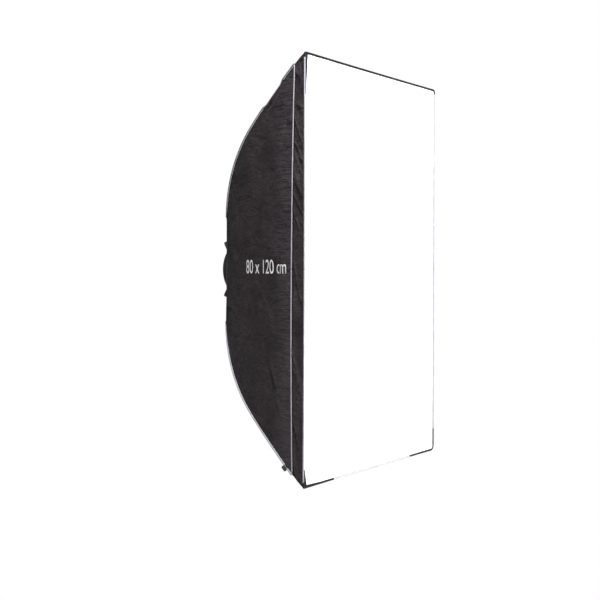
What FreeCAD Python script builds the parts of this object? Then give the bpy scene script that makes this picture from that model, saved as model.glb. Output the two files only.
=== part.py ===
import FreeCAD, Part
import math
import os

# Rectangular strip softbox on a rotating, folding speed ring.  Millimetres.
# Origin: centre of the adapter's seat face.  +Y points back, towards the flash head; +Z is up.
# The lit front faces -Y.  Lengths along a rod are measured from its hinge pin.

# ---- driving dimensions -------------------------------------------------------------------
FRONT_W = 800.0            # outer width of the front edge
FRONT_H = 1200.0           # outer height of the front edge
DEPTH = 520.0              # seat face to front edge
ROD_R = 2.5
SEAM_OFF = 10.0            # the seam ridge stands this far outside the rod's centre line
CLOTH = 2.0                # cloth and lining, measured in the plane of the rods

PIVOT_R = 92.0             # socket pin: radius from the axis and depth
PIVOT_Y = -14.0
SOCKET_ANGLE = 70.0        # open socket, from the forward axis
ROD_STRAIGHT = 75.0        # stretch held straight by the socket
BEND_1 = 28.6              # degrees of bow in the rear arc and in the front arc
BEND_2 = 4.2
REAR_EDGE = 110.0          # rod length at which the cloth starts
LIP = 56.0                 # front lip, measured along the rod
ROD_SHORT = 19.0           # the rod stops this far short of the front corner
BORDER_SHORT = 50.0        # the diffuser's border stops this far short of the corners, clear of the pockets

BORE_R = 49.0
SLEEVE_R = 60.0
RING_BORE = SLEEVE_R + 0.05
RING_R = 80.0
RING_FRONT = -23.6
RING_BACK = -4.4
PIPING_R = 2.2

CORNERS = {"upper_left": (-1, 1), "upper_right": (1, 1), "lower_right": (1, -1), "lower_left": (-1, -1)}
SIDES = {"left": (-1, 0), "right": (1, 0), "top": (0, 1), "bottom": (0, -1)}
QUARTER_TURN = {"right": 0, "top": -90, "left": 180, "bottom": 90}     # from the right side, about Y

HALF_W, HALF_H = FRONT_W / 2, FRONT_H / 2
HALF_D = math.hypot(HALF_W, HALF_H)
Vec = FreeCAD.Vector
AXIS_Y = Vec(0, 1, 0)
AXIS_Z = Vec(0, 0, 1)

# ---- the bowed rod: a straight stretch and two tangent arcs, in (radius, y) -----------------
A0 = math.radians(SOCKET_ANGLE)
A1 = A0 - math.radians(BEND_1)
A2 = A1 - math.radians(BEND_2)


def arc_radii():
    """Radii of the two arcs that end the seam ridge exactly on the front corner."""
    want_r = HALF_D - SEAM_OFF * math.cos(A2) - PIVOT_R - ROD_STRAIGHT * math.sin(A0)
    want_y = -DEPTH - SEAM_OFF * math.sin(A2) - PIVOT_Y + ROD_STRAIGHT * math.cos(A0)
    a, b = math.cos(A1) - math.cos(A0), math.cos(A2) - math.cos(A1)
    c, d = -(math.sin(A0) - math.sin(A1)), -(math.sin(A1) - math.sin(A2))
    det = a * d - b * c
    return (want_r * d - b * want_y) / det, (a * want_y - c * want_r) / det


R1, R2 = arc_radii()
S1 = ROD_STRAIGHT
S2 = S1 + R1 * (A0 - A1)
S3 = S2 + R2 * (A1 - A2)
LIP_START = S3 - LIP
ROD_END = S3 - ROD_SHORT


def bow(s, off=0.0):
    """(radius, y, angle) at length s from the pin, off outside the rod's centre line."""
    r = PIVOT_R + min(s, S1) * math.sin(A0)
    y = PIVOT_Y - min(s, S1) * math.cos(A0)
    angle = A0
    for start, end, radius in ((S1, S2, R1), (S2, 1e9, R2)):
        if s > start:
            turned = angle - (min(s, end) - start) / radius
            r += radius * (math.cos(turned) - math.cos(angle))
            y -= radius * (math.sin(angle) - math.sin(turned))
            angle = turned
    return r + off * math.cos(angle), y + off * math.sin(angle), angle


def at(s, off=0.0):
    r, y, _ = bow(s, off)
    return Vec(r, y, 0)


# ---- helpers ---------------------------------------------------------------------------------
def turned_to(shape, corner):
    """A shape drawn in the plane of +X and Y, turned about Y to a corner's diagonal."""
    sx, sz = CORNERS[corner]
    out = shape.copy()
    angle = math.degrees(math.atan2(sz * HALF_H, sx * HALF_W))
    out.rotate(Vec(0, 0, 0), AXIS_Y, -angle)
    return out


def tube_y(r_in, r_out, y0, y1):
    ring = Part.makeCylinder(r_out, y1 - y0, Vec(0, y0, 0), AXIS_Y)
    return ring.cut(Part.makeCylinder(r_in, y1 - y0, Vec(0, y0, 0), AXIS_Y))


def rod_between(p, q, radius):
    return Part.makeCylinder(radius, (q - p).Length, p, q - p)


def prism(points, direction):
    wire = Part.makePolygon(list(points) + [points[0]])
    return Part.Face(wire).extrude(direction)


def block(x0, x1, y0, y1, z0, z1):
    return Part.makeBox(x1 - x0, y1 - y0, z1 - z0, Vec(x0, y0, z0))


def along_bow(s0, s1, radius, off=0.0):
    """A round bar that follows the bow from s0 to s1."""
    edges = []
    for start, end in ((0, S1), (S1, S2), (S2, S3)):
        a, b = max(s0, start), min(s1, end)
        if b - a > 1e-6 and start == 0:
            edges.append(Part.makeLine(at(a, off), at(b, off)))
        elif b - a > 1e-6:
            edges.append(Part.Arc(at(a, off), at((a + b) / 2, off), at(b, off)).toShape())
    path = Part.Wire(edges)
    _, _, angle = bow(s0)
    tangent = Vec(math.sin(angle), -math.cos(angle), 0)
    profile = Part.Wire([Part.makeCircle(radius, at(s0, off), tangent)])
    return path.makePipeShell([profile], True, False)


def panel_profile(s0, s1, out_off, in_off, share):
    """Closed face between two offsets of the bow, drawn in X and Y with the radius times share."""
    steps = 14

    def line(off, a, b):
        points = []
        for i in range(steps + 1):
            r, y, _ = bow(a + (b - a) * i / steps, off)
            points.append(Vec(r * share, y, 0))
        return points

    outer, inner = line(out_off, s0, s1), line(in_off, s0, s1)
    curves = []
    for points in (outer, inner):
        spline = Part.BSplineCurve()
        spline.interpolate(points)
        curves.append(spline.toShape())
    ends = [Part.makeLine(outer[0], inner[0]), Part.makeLine(outer[-1], inner[-1])]
    return Part.Face(Part.Wire(Part.__sortEdges__(curves + ends)))


def side_sheet(side, s0, s1, out_off=SEAM_OFF, in_off=SEAM_OFF - CLOTH):
    """One side of the pyramid between two lengths along the rod, mitred at its corners."""
    sx, sz = SIDES[side]
    wide = HALF_W if sx else HALF_H
    tall = HALF_H if sx else HALF_W
    sheet = panel_profile(s0, s1, out_off, in_off, wide / HALF_D).extrude(Vec(0, 0, 4 * tall))
    sheet.translate(Vec(0, 0, -2 * tall))
    reach = 1.2
    wedge = prism(
        [Vec(0, 100, 0), Vec(reach * wide, 100, -reach * tall), Vec(reach * wide, 100, reach * tall)],
        Vec(0, -2 * DEPTH, 0),
    )
    sheet = sheet.common(wedge).common(block(0, 1000, -DEPTH, 100, -1000, 1000))
    sheet.rotate(Vec(0, 0, 0), AXIS_Y, QUARTER_TURN[side])
    return sheet


def in_all_corners(shape):
    return [turned_to(shape, corner) for corner in CORNERS]


# ---- hub ---------------------------------------------------------------------------------------
LUG_COUNT = 3
LUG_SPAN = 32.0
SPIGOT_R = 55.0
SPIGOT_BACK = 9.0
RETAINER_R = 74.0
GRUB_R = 1.5
LOCK_Y = -14.0
STUD_R = 3.3


def bayonet_insert():
    body = tube_y(BORE_R, SLEEVE_R, -27, 0).fuse(tube_y(SLEEVE_R - 1, 68, -27, -24))
    body = body.fuse(tube_y(BORE_R, SPIGOT_R, -1, SPIGOT_BACK))
    for i in range(LUG_COUNT):
        lug = Part.makeCylinder(59.5, 3.5, Vec(0, 5.5, 0), AXIS_Y, LUG_SPAN)
        lug = lug.cut(Part.makeCylinder(SPIGOT_R - 0.5, 3.5, Vec(0, 5.5, 0), AXIS_Y))
        lug.rotate(Vec(0, 0, 0), AXIS_Y, i * 360.0 / LUG_COUNT)
        body = body.fuse(lug)
    return [body.removeSplitter()]


def grub_screws():
    screws = []
    for i in range(3):
        screw = rod_between(Vec(SLEEVE_R + 0.05, -2, 0), Vec(RETAINER_R - 3, -2, 0), GRUB_R - 0.05)
        screw = screw.cut(rod_between(Vec(RETAINER_R - 6, -2, 0), Vec(RETAINER_R, -2, 0), 0.7))
        screw.rotate(Vec(0, 0, 0), AXIS_Y, 30 + i * 120.0)
        screws.append(screw)
    return screws


def retaining_ring():
    ring = tube_y(SLEEVE_R, RETAINER_R, -4, 0)
    rim = [e for e in ring.Edges if abs(e.CenterOfMass.y) < 0.01 and e.Length > 2 * math.pi * 70]
    ring = ring.makeChamfer(0.8, rim)
    for i in range(3):
        hole = rod_between(Vec(SLEEVE_R - 1, -2, 0), Vec(RETAINER_R + 1, -2, 0), GRUB_R)
        hole.rotate(Vec(0, 0, 0), AXIS_Y, 30 + i * 120.0)
        ring = ring.cut(hole)
    return [ring]


EAR_GAP = 8.8
EAR_OUT = 13.8
PIN_R = 2.5
OPEN_DIR = Vec(math.sin(A0), -math.cos(A0), 0)
OPEN_BACK = Vec(math.cos(A0), math.sin(A0), 0)
PIVOT = Vec(PIVOT_R, PIVOT_Y, 0)


def ear_pair():
    """Two ears for the socket's pin, joined behind the socket by the bar it stops on."""
    outline = [Vec(72, -23.6, 0), Vec(95, -25.5, 0), Vec(103, -22, 0), Vec(113, -13, 0),
               Vec(112, -4.5, 0), Vec(106, -3, 0), Vec(72, -4.4, 0)]
    ears = []
    for z in (EAR_GAP, -EAR_OUT):
        ears.append(prism([p + Vec(0, 0, z) for p in outline], Vec(0, 0, EAR_OUT - EAR_GAP)))
    corner = PIVOT + OPEN_DIR * 10 + OPEN_BACK * 6.9
    stop = [corner, corner + OPEN_DIR * 8, corner + OPEN_DIR * 8 + OPEN_BACK * 4.5, corner + OPEN_BACK * 4.5]
    bar = prism([p + Vec(0, 0, -EAR_GAP - 1) for p in stop], Vec(0, 0, 2 * EAR_GAP + 2))
    pair = ears[0].fuse(ears[1]).fuse(bar)
    return pair.cut(rod_between(PIVOT + Vec(0, 0, -20), PIVOT + Vec(0, 0, 20), PIN_R))


def speed_ring():
    ring = tube_y(RING_BORE, RING_R, RING_FRONT, RING_BACK)
    groove = tube_y(RING_R - 2.5, RING_R + 1, -18, -10)
    ring = ring.cut(groove)
    ring = ring.fuse(in_all_corners(ear_pair())).removeSplitter()
    ring = ring.cut(tube_y(0.1, RING_BORE, -40, 10))
    boss = rod_between(Vec(74, LOCK_Y, 0), Vec(84, LOCK_Y, 0), 8)
    ring = ring.fuse(boss)
    return [ring.cut(rod_between(Vec(50, LOCK_Y, 0), Vec(95, LOCK_Y, 0), STUD_R + 0.05)).removeSplitter()]


def friction_washer():
    return [tube_y(60.4, 67.5, -23.95, -23.65)]


def pivot_pins():
    pin = rod_between(PIVOT + Vec(0, 0, -15), PIVOT + Vec(0, 0, 15), PIN_R)
    for z in (14.0, -16.2):
        pin = pin.fuse(rod_between(PIVOT + Vec(0, 0, z), PIVOT + Vec(0, 0, z + 2.2), 4.2))
    return in_all_corners(pin.removeSplitter())


def pivot_washers():
    washers = []
    for z in (EAR_GAP - 0.46, -EAR_GAP + 0.06):
        disc = rod_between(PIVOT + Vec(0, 0, z), PIVOT + Vec(0, 0, z + 0.4), 7)
        bore = rod_between(PIVOT + Vec(0, 0, z), PIVOT + Vec(0, 0, z + 0.4), PIN_R + 0.1)
        washers += in_all_corners(disc.cut(bore))
    return washers


def lock_stud():
    return [rod_between(Vec(64.5, LOCK_Y, 0), Vec(96, LOCK_Y, 0), STUD_R)]


def lock_tip():
    return [rod_between(Vec(60.4, LOCK_Y, 0), Vec(64.5, LOCK_Y, 0), STUD_R - 0.4)]


def lock_knob():
    body = rod_between(Vec(86, LOCK_Y, 0), Vec(106, LOCK_Y, 0), 13)
    for i in range(6):
        a = math.radians(60 * i)
        lobe = Vec(86, LOCK_Y + 13.5 * math.cos(a), 13.5 * math.sin(a))
        body = body.cut(rod_between(lobe, lobe + Vec(20, 0, 0), 3.2))
    body = body.fuse(rod_between(Vec(84.5, LOCK_Y, 0), Vec(86, LOCK_Y, 0), 7))
    return [body.cut(rod_between(Vec(80, LOCK_Y, 0), Vec(96, LOCK_Y, 0), STUD_R)).removeSplitter()]


# ---- one folding rod ---------------------------------------------------------------------------
def socket():
    eye = rod_between(PIVOT + Vec(0, 0, -8), PIVOT + Vec(0, 0, 8), 8)
    tube = rod_between(PIVOT + OPEN_DIR * 4, PIVOT + OPEN_DIR * 72, 6.5)
    collar = rod_between(PIVOT + OPEN_DIR * 66, PIVOT + OPEN_DIR * 72, 7.5)
    body = eye.fuse(tube).fuse(collar).removeSplitter()
    body = body.cut(rod_between(PIVOT + Vec(0, 0, -9), PIVOT + Vec(0, 0, 9), PIN_R + 0.05))
    body = body.cut(rod_between(PIVOT + OPEN_DIR * 14, PIVOT + OPEN_DIR * 80, 4.1))
    middle = PIVOT + OPEN_DIR * 32
    return body.cut(rod_between(middle, middle + OPEN_BACK * 10, 2.05))


def socket_screw():
    middle = PIVOT + OPEN_DIR * 32
    screw = rod_between(middle + OPEN_BACK * 4.05, middle + OPEN_BACK * 7.2, 2.0)
    return screw.cut(rod_between(middle + OPEN_BACK * 5.8, middle + OPEN_BACK * 8, 1.0))


def rod_ferrule():
    sleeve = rod_between(PIVOT + OPEN_DIR * 15, PIVOT + OPEN_DIR * 74, 4.0)
    return sleeve.cut(rod_between(PIVOT + OPEN_DIR * 17, PIVOT + OPEN_DIR * 80, ROD_R))


def rod():
    return along_bow(17.0, ROD_END, ROD_R)


TIP_R = 3.2
POCKET_R = 4.8
POCKET_BACK = 44.0         # the pocket's two ends, measured back from the front corner
POCKET_FRONT = 12.0


def bow_frame(s):
    """A point on the rod's centre line and the forward direction there."""
    _, _, angle = bow(s)
    return at(s), Vec(math.sin(angle), -math.cos(angle), 0)


def rod_tip():
    p, d = bow_frame(ROD_END)
    cap = rod_between(p - d * 12, p + d, TIP_R).fuse(Part.makeSphere(TIP_R, p + d))
    return cap.removeSplitter().cut(rod_between(p - d * 14, p, ROD_R + 0.02))


def corner_pocket():
    p, d = bow_frame(S3 - POCKET_FRONT)
    cup = rod_between(p - d * (POCKET_BACK - POCKET_FRONT), p, POCKET_R)
    cup = cup.cut(rod_between(p - d * 40, p - d * 2.5, TIP_R + 0.4))
    rim = [e for e in cup.Edges if e.Length > 2 * math.pi * (POCKET_R - 0.1)]
    return cup.makeFillet(0.5, rim)


# ---- cloth -------------------------------------------------------------------------------------
def panel(side):
    return [side_sheet(side, REAR_EDGE, LIP_START)]


def lip(side):
    return [side_sheet(side, LIP_START, S3 + 6)]


def short_of_corners(side, strip, short):
    """A side's strip, ended this far before its two corners."""
    sx, _ = SIDES[side]
    half_x, half_z = (HALF_W, HALF_H - short) if sx else (HALF_W - short, HALF_H)
    return strip.common(block(-half_x, half_x, -DEPTH + 0.3, 0, -half_z, half_z))


def lip_velcro():
    """Loop strips sewn inside the lips."""
    strips = []
    out_off = SEAM_OFF - CLOTH - 0.3
    for side in SIDES:
        strip = side_sheet(side, S3 - 42, S3 - 3, out_off, out_off - 1.4)
        strips.append(short_of_corners(side, strip, BORDER_SHORT - 10))
    return strips


def flap(side):
    """Rear flap from the panel's edge down to the front of the ring, clear of the sockets."""
    sx, _ = SIDES[side]
    wide = HALF_W if sx else HALF_H
    r, y, _ = bow(REAR_EDGE + 12, SEAM_OFF - CLOTH - 1)
    outer_x, outer_half = r * wide / HALF_D, (118.0 if sx else 80.0)
    inner_x, inner_y, inner_half = 82.0, -27.5, (40.0 if sx else 27.0)
    points = [Vec(outer_x, y, -outer_half), Vec(outer_x, y, outer_half),
              Vec(inner_x, inner_y, inner_half), Vec(inner_x, inner_y, -inner_half)]
    normal = (points[1] - points[0]).cross(points[2] - points[1])
    if normal.y > 0:
        normal = normal * -1
    sheet = prism(points, normal.normalize() * 1.6)
    sheet.rotate(Vec(0, 0, 0), AXIS_Y, QUARTER_TURN[side])
    return [sheet]


def corner_piping():
    return in_all_corners(along_bow(REAR_EDGE, LIP_START - 4, PIPING_R, SEAM_OFF + PIPING_R + 0.4))


def lip_piping():
    """Piping over the seam between the panels and the lip, one length a side."""
    bars = []
    for side, (sx, _) in SIDES.items():
        wide, tall = (HALF_W, HALF_H) if sx else (HALF_H, HALF_W)
        r, y, angle = bow(LIP_START, SEAM_OFF)
        share = wide / HALF_D
        slope = math.atan(math.tan(angle) * share)
        x = r * share + (PIPING_R + 0.3) * math.cos(slope)
        y += (PIPING_R + 0.3) * math.sin(slope)
        half = r * tall / HALF_D - 6
        bar = rod_between(Vec(x, y, -half), Vec(x, y, half), PIPING_R)
        bar.rotate(Vec(0, 0, 0), AXIS_Y, QUARTER_TURN[side])
        bars.append(bar)
    return bars


def front_piping():
    y = -DEPTH - PIPING_R - 0.3
    bars = []
    for sign in (-1, 1):
        x, z = sign * (HALF_W - 2), sign * (HALF_H - 2)
        bars.append(rod_between(Vec(x, y, -HALF_H + 12), Vec(x, y, HALF_H - 12), PIPING_R))
        bars.append(rod_between(Vec(-HALF_W + 12, y, z), Vec(HALF_W - 12, y, z), PIPING_R))
    return bars


def pull_tab():
    """Webbing tab over the lower left seam, just behind the lip."""
    low = SEAM_OFF + 2 * PIPING_R + 0.8
    p, q = at(LIP_START - 34, low), at(LIP_START - 12, low)
    d = (q - p).normalize()
    n = Vec(-d.y, d.x, 0)
    tab = prism([p, q, q + n * 2.0, p + n * 2.0], Vec(0, 0, 16))
    tab.translate(Vec(0, 0, -8))
    return [turned_to(tab, "lower_left")]


# ---- diffusers -----------------------------------------------------------------------------------
INNER_W = 460.0
INNER_H = 740.0
INNER_Y = -290.0
FRONT_GAP = 0.4            # the front sheet lies this far in front of the lips and inside the piping
FRONT_SHEET = 1.2


def inner_diffuser():
    return [block(-INNER_W / 2, INNER_W / 2, INNER_Y, INNER_Y + 1.6, -INNER_H / 2, INNER_H / 2)]


def strap_reach():
    """Radius along the diagonal at which a strap's anchor loop sits, inside the seam."""
    s = S2
    for _ in range(40):
        s += bow(s)[1] - INNER_Y
    return bow(s)[0] - 22


def inner_straps():
    start = math.hypot(INNER_W / 2, INNER_H / 2)
    end = strap_reach() - 18
    return in_all_corners(block(start - 2, end, INNER_Y + 2.0, INNER_Y + 3.6, -9, 9))


def strap_slider():
    """Flat three-bar sliders at the outer end of each strap."""
    end = strap_reach() - 17
    slider = block(end, end + 18, INNER_Y + 1.4, INNER_Y + 4.2, -13, 13)
    for x in (end + 3, end + 10.5):
        slider = slider.cut(block(x, x + 4.5, INNER_Y, INNER_Y + 6, -10, 10))
    return slider


def front_sheet():
    x, z = (half - 2 - PIPING_R - FRONT_GAP for half in (HALF_W, HALF_H))
    y = -DEPTH - FRONT_GAP
    return [block(-x, x, y - FRONT_SHEET, y, -z, z)]


def diffuser_border():
    """The diffuser's own hook strips, which fold back inside the lips' loop strips."""
    strips = []
    out_off = SEAM_OFF - CLOTH - 2.2
    for side in SIDES:
        strip = side_sheet(side, S3 - 42, S3 + 6, out_off, out_off - 1.6)
        strips.append(short_of_corners(side, strip, BORDER_SHORT))
    return strips


# ---- write one STEP per node -------------------------------------------------------------------
def nodes():
    made = {
        "bayonet_insert": bayonet_insert(),
        "retaining_ring": retaining_ring(),
        "retaining_screws": grub_screws(),
        "speed_ring": speed_ring(),
        "friction_washer": friction_washer(),
        "pivot_pins": pivot_pins(),
        "pivot_washers": pivot_washers(),
        "lock_stud": lock_stud(),
        "lock_tip": lock_tip(),
        "lock_knob": lock_knob(),
        "corner_piping": corner_piping(),
        "lip_piping": lip_piping(),
        "front_piping": front_piping(),
        "lip_velcro": lip_velcro(),
        "pull_tab": pull_tab(),
        "inner_diffuser": inner_diffuser(),
        "inner_straps": inner_straps(),
        "front_diffuser": front_sheet(),
        "diffuser_border": diffuser_border(),
    }
    for side in SIDES:
        made[side + "_panel"] = panel(side)
        made[side + "_lip"] = lip(side)
        made[side + "_flap"] = flap(side)
    for corner in CORNERS:
        for name, make in (("rod_socket", socket), ("socket_screw", socket_screw),
                           ("rod_ferrule", rod_ferrule),
                           ("rod", rod), ("rod_tip", rod_tip), ("corner_pocket", corner_pocket),
                           ("strap_slider", strap_slider)):
            made[name + "_" + corner] = [turned_to(make(), corner)]
    return made


os.makedirs("parts", exist_ok=True)
for name, solids in nodes().items():
    solids = [solid for shape in solids for solid in shape.Solids]
    shape = solids[0] if len(solids) == 1 else Part.makeCompound(solids)
    shape.exportStep("parts/" + name + ".step")
    print(name, len(solids), "solids", round(sum(solid.Volume for solid in solids) / 1000, 1), "cm3",
          "valid" if shape.isValid() else "NOT VALID")
print("rod arcs", round(R1), round(R2), "rod length", round(ROD_END - 17), "tip", bow(ROD_END)[:2])
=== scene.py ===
import math
import random
import bpy
import numpy as np
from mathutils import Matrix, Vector, noise


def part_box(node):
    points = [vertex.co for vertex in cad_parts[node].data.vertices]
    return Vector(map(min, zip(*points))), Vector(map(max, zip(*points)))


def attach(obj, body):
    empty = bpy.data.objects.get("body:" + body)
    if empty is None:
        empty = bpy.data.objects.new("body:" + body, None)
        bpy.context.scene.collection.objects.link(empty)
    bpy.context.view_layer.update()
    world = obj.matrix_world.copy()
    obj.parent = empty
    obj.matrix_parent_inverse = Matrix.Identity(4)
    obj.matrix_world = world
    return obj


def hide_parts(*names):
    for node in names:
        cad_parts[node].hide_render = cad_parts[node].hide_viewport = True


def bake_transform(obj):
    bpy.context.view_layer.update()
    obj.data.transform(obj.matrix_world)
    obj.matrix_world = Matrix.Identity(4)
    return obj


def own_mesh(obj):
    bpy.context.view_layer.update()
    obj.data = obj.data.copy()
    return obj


# Strip softbox: the looks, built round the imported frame.  Metres; the lit front faces -Y.

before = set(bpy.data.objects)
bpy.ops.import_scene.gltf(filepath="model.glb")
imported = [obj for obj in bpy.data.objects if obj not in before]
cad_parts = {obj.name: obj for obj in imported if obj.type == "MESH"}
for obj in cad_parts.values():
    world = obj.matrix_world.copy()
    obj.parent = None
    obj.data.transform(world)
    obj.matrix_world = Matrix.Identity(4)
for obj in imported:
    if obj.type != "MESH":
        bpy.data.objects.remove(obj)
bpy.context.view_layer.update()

# ---- sizes, from the frame ----
HALF_W = -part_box("left_lip")[0][0]
HALF_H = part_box("top_lip")[1][2]
DEPTH = -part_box("left_lip")[0][1]
HALF_D = math.hypot(HALF_W, HALF_H)
INNER_LOW, INNER_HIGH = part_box("inner_diffuser")
FRONT_LOW, FRONT_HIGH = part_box("front_diffuser")

# The bowed rod under each corner seam: a straight stretch and two tangent arcs.
PIVOT_R = 0.092
PIVOT_Y = -0.014
ROD_STRAIGHT = 0.075
ANGLES = [math.radians(a) for a in (70.0, 70.0 - 28.6, 70.0 - 28.6 - 4.2)]
SEAM_OFF = 0.010           # the cloth's ridge stands this far outside the rod's centre line
REAR_EDGE = 0.110          # the panels start at this length along the rod
LIP = 0.056
LIP_AT = {"upper_left": 0.053, "upper_right": 0.055, "lower_right": 0.057, "lower_left": 0.060}
LIP_PULL = 0.011           # the lip's seam is pulled back this far in the middle of a side
CORNER_ROUND = {"upper_left": 0.004, "upper_right": 0.006, "lower_right": 0.017, "lower_left": 0.004}

CLOTH = 0.0009
DIFFUSER = 0.0006
TAPE = 0.0014              # thickness of the hook and the loop strips
ALLOWANCE = 0.008          # seam allowance, stitched down beside the piping
SATURATE = 1.3             # divides a side's half length in follow, whose result is not used
DRAPE_FRAMES = 24
SINK = 0.0025              # the draped cloth sinks by no more than this
PANEL_STIFF, LIP_STIFF = 1.2, 0.3
LIP_SPARE = 0.030          # spare cloth in a lip, as a share of its size

PIPING_R = 0.0021
LIP_PIPING_R = 0.0017
TUBE_SIDES = 10
STITCH = 0.0052            # from the start of one stitch to the next
SEAM_STITCH_IN = 0.0055    # stitches stand this far from a corner seam
HEM_STITCH_IN = 0.013      # from the panel's rear edge
LIP_STITCH_IN = 0.0062     # and from the lip's seam
DENT = (0.565, 0.705)      # between these lengths the upper left seam is pulled in
DENT_DEPTH = 0.0046

MARK_AT = (-0.010, 0.43)   # (across the left panel, along the rod) where the printed size starts
FLAP_INNER = 0.082         # a rear flap ends this far from the axis
FLAP_TAPER = 0.66          # and is narrower by this share there
STRAP_HALF = 0.009

# The grid rows, from a panel's or a lip's rear edge, that each narrow strip covers.
HEM_ROWS = slice(0, 6)
SEAM_TAPE_ROWS = slice(0, 5)
LOOP_STRIP_ROWS = slice(-19, -2)

CORNERS = {"upper_left": (-1, 1), "upper_right": (1, 1), "lower_right": (1, -1), "lower_left": (-1, -1)}
SIDES = {"left": (-1, 0), "right": (1, 0), "top": (0, 1), "bottom": (0, -1)}
WHITE = (1.0, 1.0, 1.0)

# A black tube covers the front piping for this length next to a corner, and CAP elsewhere; along the top it
# runs the whole length as painted shade over the top's piping.
CAP = 0.014
CAPS_AND_TOP_SHADE = {("top", "upper_left"): HALF_W, ("top", "upper_right"): HALF_W, ("bottom", "lower_left"): 0.16,
        ("bottom", "lower_right"): 0.17, ("right", "lower_right"): 0.07}
# Length and width of the black tape beside the front piping, at a front corner.
BINDINGS = {("left", "upper_left"): (0.115, 0.017), ("left", "lower_left"): (0.050, 0.019),
            ("bottom", "lower_left"): (0.120, 0.007)}


def arc_radii():
    """Radii of the two arcs that end the seam ridge exactly on the front corner."""
    a0, a1, a2 = ANGLES
    want_r = HALF_D - SEAM_OFF * math.cos(a2) - PIVOT_R - ROD_STRAIGHT * math.sin(a0)
    want_y = -DEPTH - SEAM_OFF * math.sin(a2) - PIVOT_Y + ROD_STRAIGHT * math.cos(a0)
    a, b = math.cos(a1) - math.cos(a0), math.cos(a2) - math.cos(a1)
    c, d = math.sin(a1) - math.sin(a0), math.sin(a2) - math.sin(a1)
    det = a * d - b * c
    return (want_r * d - b * want_y) / det, (a * want_y - c * want_r) / det


# Lengths along the rod, from the pin: the straight stretch and the first arc end, and the shell ends.
R1, R2 = arc_radii()
S1 = ROD_STRAIGHT
S2 = S1 + R1 * (ANGLES[0] - ANGLES[1])
S3 = S2 + R2 * (ANGLES[1] - ANGLES[2])
LIP_START = S3 - LIP


def bow(s, off=0.0):
    """(radius, y, angle) at length s from the pin, off outside the rod's centre line."""
    angle = ANGLES[0]
    r = PIVOT_R + min(s, S1) * math.sin(angle)
    y = PIVOT_Y - min(s, S1) * math.cos(angle)
    for start, end, radius in ((S1, S2, R1), (S2, math.inf, R2)):
        if s > start:
            turned = angle - (min(s, end) - start) / radius
            r += radius * (math.cos(turned) - math.cos(angle))
            y -= radius * (math.sin(angle) - math.sin(turned))
            angle = turned
    return r + off * math.cos(angle), y + off * math.sin(angle), angle


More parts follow.
